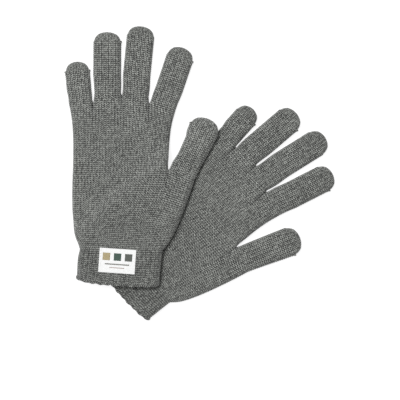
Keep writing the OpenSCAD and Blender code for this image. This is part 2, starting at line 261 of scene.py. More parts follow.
def read_glove(side):
    """A glove's own frame, thumb towards +x and fingers towards +y, and where its parts are."""
    g = SimpleNamespace(side=side, upper=side == "left", fingers=[])
    a, b = shared_line(side + "_cuff", side + "_lower_palm")
    g.middle = (a + b) / 2
    thumb_at = np.array(JOINTS[side + "_thumb_fold"]["pos_m"][:2])
    across = unit(b - a)
    g.across = across * np.sign(np.dot(across, thumb_at - g.middle))
    g.ahead = np.array([-g.across[1], g.across[0]])
    g.turn = np.array([g.across, g.ahead])
    g.wrist_w = np.linalg.norm(b - a)

    def local(p):
        return (np.asarray(p) - g.middle) @ g.turn.T
    yoke = [local(p) for p in shared_line(side + "_lower_palm", side + "_upper_palm")]
    g.yoke = sorted(yoke, key=lambda p: p[0])
    cuff = local(node_points(side + "_cuff")[:, :2])
    a = cuff[np.argmax(cuff @ [-1, -1])]
    b = cuff[np.argmax(cuff @ [1, -1])]
    g.cuff_end = a, b
    g.cuff_down = unit(np.array([(b - a)[1], -(b - a)[0]]))
    g.bow = ((cuff - a) @ g.cuff_down).max()
    for name in FINGERS:
        joint = JOINTS[f"{side}_{name}_fold"]
        out = g.turn @ np.array(joint["axis"][:2])
        up = np.array([-out[1], out[0]])
        fold = local(joint["pos_m"][:2])
        points = local(node_points(f"{side}_{name}")[:, :2]) - fold
        width = np.ptp(points @ out)
        g.fingers.append(SimpleNamespace(
            name=name, out=out, up=up, root=fold - STUB * up, width=width,
            length=(points @ up).max()))
    little, ring, _, index, thumb = g.fingers
    g.crotches = [None, beside(little, 1), beside(ring, 1), beside(index, -1), beside(thumb, -1)]
    return g


def beside(f, way):
    return f.root + way * (f.width / 2 + SIDE_GAP) * f.out


def world(g, p):
    return g.middle + p @ g.turn


# ---------------------------------------------------------------- the five strips of a glove
INSET_SHIFT = 2                  # courses below a crotch where the inner faces part


def count_courses(g):
    """Course numbers, counted from the cuff's end: wrist, thumb's crotch, yoke, crotches, folds."""
    cuff_l = -(g.cuff_end[0][1] + g.cuff_end[1][1]) / 2
    g.wrist = round(cuff_l / COURSE)
    g.thumb_row = g.wrist + round(g.crotches[4][1] / COURSE)
    g.yoke_row = g.thumb_row + YOKE_COURSES
    rise = [round((g.crotches[i][1] - g.yoke[0][1]) / COURSE) for i in (1, 2, 3)]
    g.crotch_rows = [None, *(g.yoke_row + r for r in rise), g.thumb_row]
    c = g.crotch_rows
    g.root_rows = [c[1], c[2], c[2], c[3], c[4]]
    g.fold_rows = [r + STUB_COURSES for r in g.root_rows]
    g.tip_rows = [fold + round((f.length - TIP_R) / COURSE)
                  for fold, f in zip(g.fold_rows, g.fingers)]
    g.end_rows = [r + TIP_COURSES for r in g.tip_rows]


def strip_edges(g):
    """The lines between the strips, from the cuff's end to each crotch, one point a course."""
    lower, upper = outline(g.side + "_lower_palm"), outline(g.side + "_upper_palm")

    def reach_from(on_node, start, direction):
        return start + direction * reach(on_node, world(g, start), direction @ g.turn)
    wrist = [np.array([(s / ALL_WALES - 0.5) * g.wrist_w, 0]) for s in SHARES]
    cuff = [np.linspace(mix(g.cuff_end[0], g.cuff_end[1], s / ALL_WALES), w, g.wrist + 1)
            for s, w in zip(SHARES, wrist)]
    rows = g.yoke_row - g.wrist
    thumb_rows = g.thumb_row - g.wrist
    crotch = g.crotches[4]
    left, right = np.array([-1.0, 0]), np.array([1.0, 0])

    level = np.linspace(0, g.yoke[0][1], rows + 1)
    start_x = wrist[1][0]
    outer = [reach_from(lower, np.array([start_x, y]), left) for y in level[1:-1]]
    outer = smooth_line(np.array([wrist[0], *outer, g.yoke[0]]), SMOOTH)
    handles = [np.array([aside, share * crotch[1]]) for aside, share in THUMB_LINE]
    inner = bezier(wrist[4], wrist[4] + handles[0], crotch + handles[1], crotch,
                   np.linspace(0, 1, thumb_rows + 1))
    inner_yoke = np.linspace(crotch, g.yoke[1], YOKE_COURSES + 1)[1:]
    inner = np.concatenate([inner, inner_yoke])
    lean = np.arctan2(-g.fingers[THUMB].out[1], g.fingers[THUMB].out[0])
    far = [wrist[5]]
    for j in range(1, thumb_rows):
        angle = lean * ease(j / thumb_rows)
        far.append(reach_from(lower, inner[j], np.array([np.cos(angle), -np.sin(angle)])))
    thumb = g.fingers[THUMB]
    far.append(thumb.root + thumb.width / 2 * thumb.out)
    far = smooth_line(np.array(far), SMOOTH_LONG)
    lines = [outer]
    lines += [mix(outer, inner, s / FOUR_WALES) for s in SHARES[1:4]]
    lines += [inner, far]

    knuckle = [g.fingers[0].root - g.fingers[0].width / 2 * g.fingers[0].out, *g.crotches[1:4],
               g.fingers[3].root + g.fingers[3].width / 2 * g.fingers[3].out]
    yoke = [mix(g.yoke[0], g.yoke[1], s / FOUR_WALES) for s in SHARES[:5]]
    last = [g.crotch_rows[1], *g.crotch_rows[1:4], g.crotch_rows[3]]
    above = []
    for i in range(5):
        t = np.linspace(0, 1, last[i] - g.yoke_row + 1)
        a, e = yoke[i], knuckle[i]
        if i in INSIDE:
            way, nearest = (left, g.crotches[1]) if i == 0 else (right, g.crotches[3])
            start_x = nearest[0] + INSIDE[i]
            ys = mix(a[1], e[1], t[1:-1])
            line = np.array([a, *(reach_from(upper, np.array([start_x, y]), way) for y in ys), e])
        else:
            line = bezier(a, mix(a, e, FINGER_LINE), e - [0, FINGER_LINE_L], e, t)
        above.append(line)
    edges = []
    for i in range(6):
        parts = [cuff[i], lines[i][1:]]
        if i < 5:
            parts.append(above[i][1:])
        whole = np.concatenate(parts)
        hold = whole[g.wrist].copy()
        if i == 4:
            whole[g.thumb_row:] = smooth_line(whole[g.thumb_row:], SMOOTH)
        elif i < 4:
            whole[g.wrist:] = smooth_line(whole[g.wrist:], SMOOTH_LONG)
        whole[g.wrist] = hold
        edges.append(whole)
    return edges


def closeness(rows, crotch_row, depth):
    """How far the two faces have closed together beside a line, below and above its crotch."""
    below = (crotch_row - rows) * COURSE
    crease = depth * np.clip(1 - below / CREASE_L, 0, 1) ** CREASE_POWER
    return np.where(rows >= crotch_row, 1.0, crease)


def flares(g, k, end, rows):
    """How far one side of a finger lies beyond its plan, course by course."""
    along = (rows - g.fold_rows[k]) / (g.tip_rows[k] - g.fold_rows[k])
    flare = FLARES[g.side][k][end] * ease(along / FLARE_RUNS[k])
    if g.upper and k == THUMB and end == 0:
        return flare - THUMB_WAIST * ease(along / WAIST_IN) * (
            1 - ease((along - WAIST_OUT) / WAIST_OUT_L))
    if g.upper and k == 0 and end == 0:
        return flare - NOTCH * np.exp(-((rows - g.wrist - NOTCH_UP) / NOTCH_COURSES) ** 2)
    return flare


def strip_sides(g, k, edges, inset):
    """A strip's two side lines, how closed each is, and how round, one row a course."""
    f = g.fingers[k]
    n = g.end_rows[k] + 1
    rows = np.arange(n)
    shift = INSET_SHIFT if inset else 0
    sides, closed, round_r, inward, swell = [], [], [], [], []
    for end, i in ((0, k), (1, k + 1)):
        line = np.zeros((n, 2))
        shared_last = min(len(edges[i]) - 1, g.root_rows[k])
        line[:shared_last + 1] = edges[i][:shared_last + 1]
        way = -1 if end == 0 else 1
        corner = f.root + way * f.width / 2 * f.out
        gap = g.root_rows[k] - shared_last
        if gap > 0:
            line[shared_last:g.root_rows[k] + 1] = np.linspace(line[shared_last], corner, gap + 1)
        stub = np.linspace(0, STUB, STUB_COURSES + 1)[1:]
        tube = np.linspace(STUB, STUB + f.length - TIP_R, g.tip_rows[k] - g.fold_rows[k] + 1)[1:]
        up = np.concatenate([stub, tube])
        line[g.root_rows[k] + 1:g.tip_rows[k] + 1] = corner + up[:, None] * f.up
        line[g.tip_rows[k] + 1:] = line[g.tip_rows[k]]
        is_outer = i in (0, 5)
        crotch_row = 0 if is_outer else g.crotch_rows[i]
        if i == 4 and k == 3:
            crotch_row = g.thumb_row
        depth = THUMB_CREASE if i == 4 else CREASE
        close = np.ones(n) if is_outer else closeness(rows + shift, crotch_row, depth)
        open_r = np.full(n, EDGE_R) if is_outer else mix(
            CREASE_R, EDGE_R, ease((rows - crotch_row) / OPEN_COURSES))
        sides.append(line)
        closed.append(close)
        round_r.append(open_r)
        apart = np.clip((rows - crotch_row + shift) / INSET_SHIFT, 0, 1)
        inward.append(np.ones(n) if is_outer else apart)
        out = SWELL * (np.ones(n) if is_outer else ease((rows - crotch_row) / SWELL_COURSES))
        swell.append(out + flares(g, k, end, rows))
    left, right = sides
    way = right - left
    way /= np.linalg.norm(way, axis=1)[:, None]
    left = left + way * (inset * inward[0] - swell[0])[:, None]
    right = right - way * (inset * inward[1] - swell[1])[:, None]
    return left, right, closed, round_r


def heights(g, k, rows):
    """The glove's thickness, course by course: full in the palm, less in the fingers."""
    if k == THUMB:
        return mix(PALM_T, FINGER_T, ease((rows - g.root_rows[k]) / STUB_COURSES))
    first = min(g.root_rows[:4])
    return mix(PALM_T, FINGER_T, ease((rows - first) / THIN_COURSES + 1))


def side_round(distance, radius, close):
    q = np.sqrt(np.clip(1 - (1 - np.clip(distance / radius, 0, 1)) ** 2, 0, 1))
    return 1 - close * (1 - q)


def lift(xy):
    """Height of the upper glove's underside where it is draped over the lower one."""
    q = (xy - LOWER.middle) @ LOWER.turn.T
    inside = np.minimum(q[..., 0] + DRAPE_SIDE, q[..., 1] + DRAPE_END)
    return STACK * ease(inside / DRAPE_RUN + 1)


def soft_waves(p):
    """Slow rise and fall of relaxed fabric, from 0 to 1."""
    x, y = p[..., 0], p[..., 1]
    a, b, c, d = SOFT_WAVES
    both = np.sin(x * a + 1.7 * np.sin(y * b)) + np.sin(y * c - x * d + 0.6)
    return 0.5 + 0.25 * both


DENSE = 128                      # steps in measuring the way round a strip's face
EVEN_SHARE = 0.6                 # 1 spaces the wales evenly round the face, 0 evenly in plan


def build_strip(g, k, edges, across, along, inset=0.0):
    """The points of a strip's two faces, and the wale and course of every point."""
    f = g.fingers[k]
    n = g.end_rows[k]
    rows = np.arange(n * along + 1) / along
    whole = np.arange(n + 1)
    left, right, closed, round_r = strip_sides(g, k, edges, inset)

    def fine(values):
        if values.ndim == 1:
            return np.interp(rows, whole, values)
        return np.stack([np.interp(rows, whole, values[:, c]) for c in (0, 1)], 1)
    left, right = fine(left), fine(right)
    (cl, cr), (rl, rr) = map(fine, closed), map(fine, round_r)
    half = heights(g, k, rows) / 2 - inset
    width = np.linalg.norm(right - left, axis=1)
    crown = np.clip((rows - g.tip_rows[k]) / TIP_COURSES, 0, 1)
    columns = WALES[k] * across
    even = np.linspace(0, 1, columns + 1)
    dense = np.linspace(0, 1, DENSE + 1)
    share = np.empty((len(rows), columns + 1))
    for i in range(len(rows)):
        z = half[i] * side_round(dense * width[i], rl[i], cl[i])
        z = z * side_round((1 - dense) * width[i], rr[i], cr[i])
        step = np.hypot(np.diff(dense) * width[i], np.diff(z))
        length = np.concatenate([[0], np.cumsum(step)])
        share[i] = mix(even, np.interp(even * length[-1], length, dense), EVEN_SHARE)
    body = side_round(share * width[:, None], rl[:, None], cl[:, None])
    body = body * side_round((1 - share) * width[:, None], rr[:, None], cr[:, None])
    v = crown[:, None]
    body = body * side_round((1 - v) * TIP_R, EDGE_R, 1.0) ** np.where(v > 0, 1, 0)
    plan = left[:, None] + (right - left)[:, None] * share[..., None]
    u = 2 * share - 1
    tip_r = TIP_R - TRIMS[g.side][k] - inset
    flare = FLARES[g.side][k]
    tip_w = f.width / 2 + SWELL + (flare[0] + flare[1]) / 2 - inset
    corner = f.root + (STUB + f.length - TIP_R) * f.up + (flare[1] - flare[0]) / 2 * f.out
    crown_w = tip_w - SHOULDER * ease(v / SHOULDER_L)
    x = crown_w * u * np.sqrt(1 - v * v / 2)
    y = tip_r * v * np.sqrt(1 - u * u / 2)
    tip = corner + x[..., None] * f.out + y[..., None] * f.up
    plan = np.where(v[..., None] > 0, tip, plan)
    if not inset:
        from_shoulder = (rows - g.tip_rows[k])[:, None] * COURSE
        for way in EARS[g.side].get(k, ()):
            near = np.exp(-((from_shoulder / EAR_L) ** 2) - ((way * u - 1) / EAR_W) ** 2)
            plan = plan + (near * EAR)[..., None] * (EAR_OUT * way * f.out + EAR_UP * f.up)

    wale = SHARES[k] + even[None] * WALES[k] + 0 * rows[:, None]
    course = rows[:, None] + 0 * even[None]
    end_share = np.clip(course / g.wrist, 0, 1)
    from_middle = np.abs(2 * wale / ALL_WALES - 1)
    bow = (g.bow + BOWS[g.side]) * (1 - from_middle ** BOW_POWER)
    bow = bow + END_L[g.side] - CORNERS[g.side] * from_middle ** CORNER_POWER
    ripple = np.sin(wale * WAVES[0] + g.across[1]) + WAVE_2 * np.sin(wale * WAVES[1] + 2)
    ripple = EDGE_WAVE * ripple
    plan[..., 1] -= (bow + ripple * (1 - from_middle ** WAVE_POWER)) * (1 - end_share)
    thick = heights(g, k, rows)[:, None]
    ground = thick * SEAT
    over = (thick * (1 - SEAT) - inset) * body
    under = (ground - inset) * body
    dip = 0 if inset else SOFT_H * soft_waves(plan) * body
    xy = world(g, plan)
    up = lift(xy) if g.upper else 0
    top = np.concatenate([xy, (ground + over - dip + up)[..., None]], 2)
    bottom = np.concatenate([xy, (ground - under + up)[..., None]], 2)
    return SimpleNamespace(top=top, bottom=bottom, wale=wale, course=course)


# ---------------------------------------------------------------- welding and stitch relief
WELD = 1e-6                      # points this near to each other are joined
WELD_OFFSET = 0.137              # keeps round numbers away from the edges of the cells


def weld(points):
    """Joins points that coincide. Returns them, each point's number, and which was kept."""
    keys = np.round(points / WELD + WELD_OFFSET).astype(np.int64)
    span = keys.max(0) - keys.min(0) + 1
    keys -= keys.min(0)
    flat = (keys[:, 0] * span[1] + keys[:, 1]) * span[2] + keys[:, 2]
    _, first, number = np.unique(flat, return_index=True, return_inverse=True)
    return points[first], number.ravel(), first


def point_normals(points, quads):
    p = points[quads]
    face = np.cross(p[:, 2] - p[:, 0], p[:, 3] - p[:, 1])
    total = np.zeros_like(points)
    for axis in range(3):
        for corner in range(4):
            total[:, axis] += np.bincount(quads[:, corner], face[:, axis], len(points))
    size = np.linalg.norm(total, axis=1)
    return total / np.maximum(size, 1e-30)[:, None]


def legs(a, course):
    """Height of a knitted V: a is 0 in the middle of a wale and 1 between wales."""
    across = np.maximum(np.sin(pi * a), 0) ** FULLNESS
    across = np.where(a < 0.5, mix(MIDDLE, 1, across), across)
    return (0.5 + 0.5 * np.cos(2 * pi * (course - SLANT * a))) * across


def stitch_depth_and_shade(g, wale, course):
    """How far each point lies below the highest yarn: as a share, and in metres. The share is drawn as
    painted shade, and it is raised in the cuff's rib grooves to paint them darker.
    """
    share = 1 - legs(np.abs(2 * (wale % 1) - 1), course)
    drawn_in = mix(CUFF_STITCH, 1, ease((course - g.wrist) / CUFF_STITCH_END))
    rib = ease(np.abs(2 * ((wale / RIB) % 1) - 1)) * ease((g.wrist + 1 - course) / RIB_END)
    # the share, raised in the rib grooves, is painted shade; the metres move the points
    return mix(share, 1, RIB_PAINTED_SHADE * rib), STITCH_H * drawn_in * share + RIB_H * rib


def lattice(rows, columns, start, flip):
    number = start + np.arange(rows * columns).reshape(rows, columns)
    q = np.stack([number[:-1, :-1], number[:-1, 1:], number[1:, 1:], number[1:, :-1]], 2)
    return number, (q[..., ::-1] if flip else q)


def build_shell(g, edges, across, along, inset=0.0):
    """All ten faces of a glove as one welded mesh, with the quads of each face apart."""
    points, wales, courses, numbers, faces = [], [], [], {}, {}
    start = 0
    for k in range(5):
        strip = build_strip(g, k, edges, across, along, inset)
        for face in FACES:
            p = getattr(strip, face)
            rows, columns = p.shape[:2]
            number, quads = lattice(rows, columns, start, (face == "bottom") != bool(inset))
            start += rows * columns
            points.append(p.reshape(-1, 3))
            wales.append((strip.wale + (0 if face == "top" else ALL_WALES)).ravel())
            courses.append(strip.course.ravel())
            numbers[k, face], faces[k, face] = number, quads
    points, wales, courses = map(np.concatenate, (points, wales, courses))
    points, number, first = weld(points)
    wales, courses = wales[first], courses[first]
    numbers = {key: number[n] for key, n in numbers.items()}
    faces = {key: number[q] for key, q in faces.items()}
    every = np.concatenate([q.reshape(-1, 4) for q in faces.values()])
    normals = point_normals(points, every)
    shell = SimpleNamespace(points=points, wale=wales, course=courses, numbers=numbers,
                            faces=faces, normals=normals, smooth=points, smooth_normals=normals)
    if not inset:
        shell.depth, below = stitch_depth_and_shade(g, wales, courses)
        shell.points = points - normals * below[:, None]
        shell.normals = point_normals(shell.points, every)
    else:
        shell.depth = np.zeros(len(points))
    return shell


# ---------------------------------------------------------------- pieces of a glove
def make_mesh(name, points, quads, ngons=(), normals=None, attributes=None):
    """A new object from points and faces, smooth all over."""
    loops = [quads.reshape(-1)] + [np.array(n) for n in ngons]
    totals = np.concatenate([np.full(len(quads), 4), [len(n) for n in ngons]]).astype(np.int32)
    loops = np.concatenate(loops).astype(np.int32)
    used, local = np.unique(loops, return_inverse=True)
    mesh = bpy.data.meshes.new(name)
    mesh.vertices.add(len(used))
    mesh.vertices.foreach_set("co", points[used].astype(np.float32).ravel())
    mesh.loops.add(len(loops))
    mesh.loops.foreach_set("vertex_index", local.ravel().astype(np.int32))
    mesh.polygons.add(len(totals))
    starts = np.concatenate([[0], np.cumsum(totals)[:-1]]).astype(np.int32)
    mesh.polygons.foreach_set("loop_start", starts)
    mesh.update(calc_edges=True)
    for key, values in (attributes or {}).items():
        kind = "FLOAT_VECTOR" if values.ndim == 2 else "FLOAT"
        layer = mesh.attributes.new(key, kind, "POINT")
        field = "vector" if values.ndim == 2 else "value"
        layer.data.foreach_set(field, values[used].astype(np.float32).ravel())
    mesh.shade_smooth()
    if normals is not None:
        mesh.normals_split_custom_set_from_vertices(normals[used].astype(np.float32))
    thing = bpy.data.objects.new(name, mesh)
    bpy.context.scene.collection.objects.link(thing)
    return thing


def rim(outer, inner, shift, k, row, far):
    """The cut edge of the fabric across one strip, between its outer and inner faces."""
    made = []
    for face in FACES:
        o = outer.numbers[k, face][row * ALONG]
        i = inner.numbers[k, face][row] + shift
        for c in range(WALES[k]):
            ring = [*o[c * ACROSS:(c + 1) * ACROSS + 1], i[c + 1], i[c]]
            made.append(ring if far == (face == "top") else ring[::-1])
    return made


def make_piece(g, outer, inner, name, spans):
    """A closed piece of fabric. spans lists (strip, first course, last course)."""
    shift = len(outer.points)
    points = np.concatenate([outer.points, inner.points])
    normals = np.concatenate([outer.normals, inner.normals])
    stitch = np.stack([np.concatenate([outer.wale, inner.wale]),
                       np.concatenate([outer.course, inner.course]),
                       np.concatenate([np.zeros(shift), np.ones(len(inner.points))])], 1)
    depth = np.concatenate([outer.depth, inner.depth])
    quads, ngons = [], []
    for k, first, last in spans:
        for face in FACES:
            quads.append(outer.faces[k, face][first * ALONG:last * ALONG].reshape(-1, 4))
            quads.append(inner.faces[k, face][first:last].reshape(-1, 4) + shift)
        ngons += rim(outer, inner, shift, k, first, False)
        if last < g.end_rows[k]:
            ngons += rim(outer, inner, shift, k, last, True)
    # "depth" carries the painted shade of the stitches to the material
    piece = make_mesh(f"{g.side}_{name}_knit", points, np.concatenate(quads), ngons, normals,
                      {"stitch": stitch, "depth": depth})
    piece.data.materials.append(KNIT)
    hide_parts(f"{g.side}_{name}")
    return piece


def make_fabric(g, outer, inner):
    """The cuff, the two parts of the palm and the five fingers."""
    body = g.side + "_glove"
    every = range(5)
    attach(make_piece(g, outer, inner, "cuff", [(k, 0, g.wrist) for k in every]), body)
    lower = [(k, g.wrist, g.yoke_row) for k in range(THUMB)]
    lower.append((THUMB, g.wrist, g.root_rows[THUMB]))
    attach(make_piece(g, outer, inner, "lower_palm", lower), body)
    upper = [(k, g.yoke_row, g.root_rows[k]) for k in range(THUMB)]
    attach(make_piece(g, outer, inner, "upper_palm", upper), body)
    for k, f in enumerate(g.fingers):
        piece = make_piece(g, outer, inner, f.name, [(k, g.root_rows[k], g.end_rows[k])])
        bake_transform(piece)


def cuff_ring(shell, row):
    """The numbers of the points round the cuff at one row of the lattice."""
    top = np.concatenate([shell.numbers[k, "top"][row][:-1] for k in range(5)])
    bottom = np.concatenate([shell.numbers[k, "bottom"][row][:0:-1] for k in range(4, -1, -1)])
    return np.concatenate([top, bottom])


def sweep(rings):
    """Quads round a closed tube: rings is an array of ring, point round the ring, xyz."""
    n, m = rings.shape[:2]
    number = np.arange(n * m).reshape(n, m)
    nxt = np.roll(number, -1, 0)
    quads = np.stack([number, np.roll(number, -1, 1), np.roll(nxt, -1, 1), nxt], 2)
    return rings.reshape(-1, 3), quads.reshape(-1, 4)


def make_hem(g, outer):
    """The overlocked edge: yarn wrapped at a slant over the cuff's last courses."""
    ring = cuff_ring(outer, 0)
    p, n = outer.smooth[ring], outer.smooth_normals[ring]
    down = np.append(g.cuff_down @ g.turn, 0)
    n = n - (n @ down)[:, None] * down
    n /= np.linalg.norm(n, axis=1)[:, None]
    sideways = n * [1, 1, 0]
    phi = np.arange(HEM_SIDES) / HEM_SIDES * 2 * pi
    turns = 2 * ALL_WALES
    s = np.arange(len(ring)) / len(ring)
    wrap = 0.5 + 0.5 * np.cos(2 * pi * (s[:, None] * turns + HEM_SLANT * np.sin(phi)[None]))
    swell = 1 - HEM_GROOVE + HEM_GROOVE * wrap ** HEM_WRAP
    centre = p + sideways * HEM_OUT - n * HEM_T / 2 + down * (HEM_L / 2 - HEM_OUT)
    rings = centre[:, None] + (np.cos(phi)[None] * HEM_T / 2 * swell)[..., None] * n[:, None]
    rings = rings + (np.sin(phi)[None] * (HEM_L / 2 + HEM_OUT) * swell)[..., None] * down
    points, quads = sweep(rings)
    stitch = np.stack([np.repeat(s * turns, HEM_SIDES), np.tile(phi, len(ring)),
                       np.full(len(points), 2.0)], 1)
    # painted shade: the hem's yarn is drawn darker between the wraps than on them
    depth = mix(*HEM_PAINTED_SHADE, wrap).ravel()
    hem = make_mesh(g.side + "_cuff_hem_overlock", points, quads,
                    attributes={"stitch": stitch, "depth": depth})
    hem.data.materials.append(KNIT)
    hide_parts(g.side + "_cuff_hem")
    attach(hem, g.side + "_glove")


def make_elastic(g, inner):
    """Round threads inside the cuff that draw it in."""
    parts, faces, start = [], [], 0
    phi = np.arange(ELASTIC_SIDES) / ELASTIC_SIDES * 2 * pi
    for i in range(1, ELASTICS + 1):
        row = i / (ELASTICS + 1) * g.wrist
        low, t = int(row), row % 1
        a, b = cuff_ring(inner, low), cuff_ring(inner, low + 1)
        p = mix(inner.points[a], inner.points[b], t)
        n = mix(inner.normals[a], inner.normals[b], t)
        ahead = np.append(g.ahead, 0)
        n = n - (n @ ahead)[:, None] * ahead
        n /= np.linalg.norm(n, axis=1)[:, None]
        centre = p + n * ELASTIC_IN * ELASTIC_R
        rings = centre[:, None] + ELASTIC_R * (np.cos(phi)[None, :, None] * n[:, None]
                                               + np.sin(phi)[None, :, None] * ahead)
        points, quads = sweep(rings)
        parts.append(points)
        faces.append(quads + start)
        start += len(points)
    thread = make_mesh(g.side + "_cuff_elastic_threads", np.concatenate(parts),
                       np.concatenate(faces))
    thread.data.materials.append(ELASTIC)
    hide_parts(g.side + "_cuff_elastic")
    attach(thread, g.side + "_glove")


# ---------------------------------------------------------------- materials
class Nodes:
    """Short ways to add and join nodes in a material."""

    def __init__(self, name):
        self.material = bpy.data.materials.new(name)
        self.material.use_nodes = True
        self.tree = self.material.node_tree
        self.shader = self.tree.nodes["Principled BSDF"]

    def add(self, kind, inputs=(), **settings):
        node = self.tree.nodes.new(kind)
        for key, value in settings.items():
            setattr(node, key, value)
        for key, value in dict(inputs).items():
            self.join(value, node.inputs[key])
        return node

    def join(self, value, socket):
        if isinstance(value, bpy.types.NodeSocket):
            self.tree.links.new(value, socket)
        else:
            socket.default_value = value

    def math(self, operation, a, b=0.0, c=0.0):
        return self.add("ShaderNodeMath", {0: a, 1: b, 2: c}, operation=operation).outputs[0]

    def ramp(self, value, stops):
        node = self.add("ShaderNodeValToRGB", {0: value})
        ramp = node.color_ramp
        for i, (place, colour) in enumerate(stops):
            stop = ramp.elements[i] if i < 2 else ramp.elements.new(place)
            stop.position = place
            stop.color = (*colour, 1)
        return node.outputs[0]

    def noise(self, vector, scale, detail=2.0, rough=0.5):
        node = self.add("ShaderNodeTexNoise", {"Vector": vector, "Scale": scale, "Detail": detail,
                                               "Roughness": rough})
        return node.outputs[0]

    def set(self, **values):
        for key, value in values.items():
            self.join(value, self.shader.inputs[key.replace("_", " ")])


# How much each of these adds to the yarn's tone, and the colours that it stands for, ends first. The
# "height" part is painted shade: lighter where the yarn stands highest, darker where it lies deep
# between the stitches' legs, in the cuff's rib grooves and between the hem's wraps
TONE = {"stitch": 0.16, "fibre": 0.26, "fleck": 0.50, "patch": 0.09, "height": 0.64}
YARN_COLOURS = [(0.50, (0.007, 0.007, 0.007)), (0.96, (0.345, 0.357, 0.334)),
                (0.645, (0.026, 0.027, 0.025)), (0.79, (0.102, 0.106, 0.099))]
# Scale, detail and roughness of the noises: the first two run along the yarn, the others in metres
FIBRE, FUZZ = (2.2, 4.0, 0.65), (5.0, 3.0, 0.6)
FLECK, PATCH = (850.0, 1.0, 0.5), (38.0, 2.0, 0.5)
YARN_SCALE = (2.2, 3.2)          # of the first two, across and along a stitch
PLY = (12.0, 22.0)               # twist of the yarn, along and across a stitch


def knit_material():
    """Heathered yarn: fibres from black to pale grey, uneven stitches, a soft nap, and painted shade
    deep between the stitches' legs.
    """
    m = Nodes("heathered_knit")
    place = m.add("ShaderNodeTexCoord").outputs["Object"]
    stitch = m.add("ShaderNodeAttribute", attribute_name="stitch").outputs["Vector"]
    # the depth of the yarn, drawn as painted shade: the deeper it lies, the darker it is
    depth = m.add("ShaderNodeAttribute", attribute_name="depth").outputs["Fac"]
    wale, course, face = m.add("ShaderNodeSeparateXYZ", {0: stitch}).outputs
    leg = m.math("FLOOR", m.math("MULTIPLY", wale, 2.0))
    doubled = m.math("MULTIPLY", m.math("FRACT", wale), 2.0)
    a = m.math("ABSOLUTE", m.math("SUBTRACT", doubled, 1.0))
    run = m.math("MULTIPLY_ADD", a, -SLANT, course)
    loop = m.math("FLOOR", m.math("ADD", run, 0.5))
    cell = m.add("ShaderNodeCombineXYZ", {0: leg, 1: loop, 2: face}).outputs[0]
    random = m.add("ShaderNodeTexWhiteNoise", {"Vector": cell}, noise_dimensions="3D").outputs[0]
    yarn = m.add("ShaderNodeCombineXYZ", {0: m.math("MULTIPLY", wale, YARN_SCALE[0]),
                                          1: m.math("MULTIPLY", run, YARN_SCALE[1]), 2: leg}).outputs[0]
    fibre = m.noise(yarn, *FIBRE)
    # "height" is painted shade from the depth; the others are the yarn's own uneven colour
    parts = {"stitch": random, "fibre": fibre, "fleck": m.noise(place, *FLECK),
             "patch": m.noise(place, *PATCH), "height": m.math("SUBTRACT", 1.0, depth)}
    tone = 0.0
    for name, value in parts.items():
        tone = m.math("MULTIPLY_ADD", value, TONE[name], tone)
    ply = m.math("SINE", m.math("MULTIPLY_ADD", run, PLY[0], m.math("MULTIPLY", a, PLY[1])))
    fine = m.math("MULTIPLY_ADD", ply, 0.25, m.noise(yarn, *FUZZ))
    bump = m.add("ShaderNodeBump", {"Strength": 0.5, "Distance": 0.0003, "Height": fine})
    m.set(Base_Color=m.ramp(tone, YARN_COLOURS), Roughness=m.math("MULTIPLY_ADD", fibre, 0.12, 0.84),
          Normal=bump.outputs[0], Sheen_Weight=0.25, Sheen_Roughness=0.6, Specular_IOR_Level=0.25)
    return m.material


def elastic_material():
    m = Nodes("covered_elastic")
    place = m.add("ShaderNodeTexCoord").outputs["Object"]
    shade = m.noise(place, 1500.0, 2.0)
    bump = m.add("ShaderNodeBump", {"Strength": 0.4, "Distance": 0.0001, "Height": shade})
    m.set(Base_Color=m.ramp(shade, [(0.3, (0.52, 0.52, 0.49)), (0.7, (0.74, 0.74, 0.70))]),
          Roughness=m.math("MULTIPLY_ADD", shade, 0.2, 0.5), Normal=bump.outputs[0])
    return m.material


def woven_material(name, dark, light, threads):
    """Fine warp and weft of one colour; threads is how many lie in a metre."""
    m = Nodes(name)
    cloth = m.add("ShaderNodeAttribute", attribute_name="weave").outputs["Vector"]
    split = m.add("ShaderNodeSeparateXYZ", {0: cloth})
    warp = m.math("SINE", m.math("MULTIPLY", split.outputs[0], 2 * pi * threads))
    weft = m.math("SINE", m.math("MULTIPLY", split.outputs[1], 2 * pi * threads * 0.8))
    weave = m.math("MULTIPLY", warp, weft)
    uneven = m.noise(cloth, 700.0, 3.0, 0.6)
    tone = m.math("MULTIPLY_ADD", weave, 0.18, uneven)
    bump = m.add("ShaderNodeBump", {"Strength": 0.45, "Distance": 0.00012, "Height": tone})
    m.set(Base_Color=m.ramp(tone, [(0.25, dark), (0.75, light)]), Normal=bump.outputs[0],
          Roughness=m.math("MULTIPLY_ADD", uneven, 0.2, 0.5), Sheen_Weight=0.15)
    return m.material


# ---------------------------------------------------------------- the label
LABEL_SHARE = 0.97               # of the CAD's label, which is a little larger than the photo's
LABEL_GAP = 0.0001               # between the knit and the label
LABEL_WAVE = 0.00012             # its slight waviness
LABEL_WAVES = (260, 210)         # how quickly that changes, in radians a metre
LABEL_GRID = (145, 97)           # mesh points along and across it
LABEL_ROUND = 0.00035            # rounding of the edges of everything on the label
CLOTH_T, FOLDED_T = 0.72, 0.2    # its cloth, and more at its folded ends, as shares of the CAD's
TURN_L, TURN_STEP = 0.0022, 0.0004             # length of those ends, and of the step up to them
MOTIF_H = 0.00022                # how far its motif stands out
MOTIF_RIB = 0.00048              # pitch of the motif's threads
MOTIF_STEP = 0.00012             # mesh row across them
BLOCK, BLOCK_UP = 0.3, 0.16      # size of its squares, and their place, as shares of the label's height
BLOCK_PITCH = 1.5                # in squares
BARS = ((-0.14, 0.66, 0.05), (-0.28, 0.4, 0.03))    # place, length, width of its bars, as shares
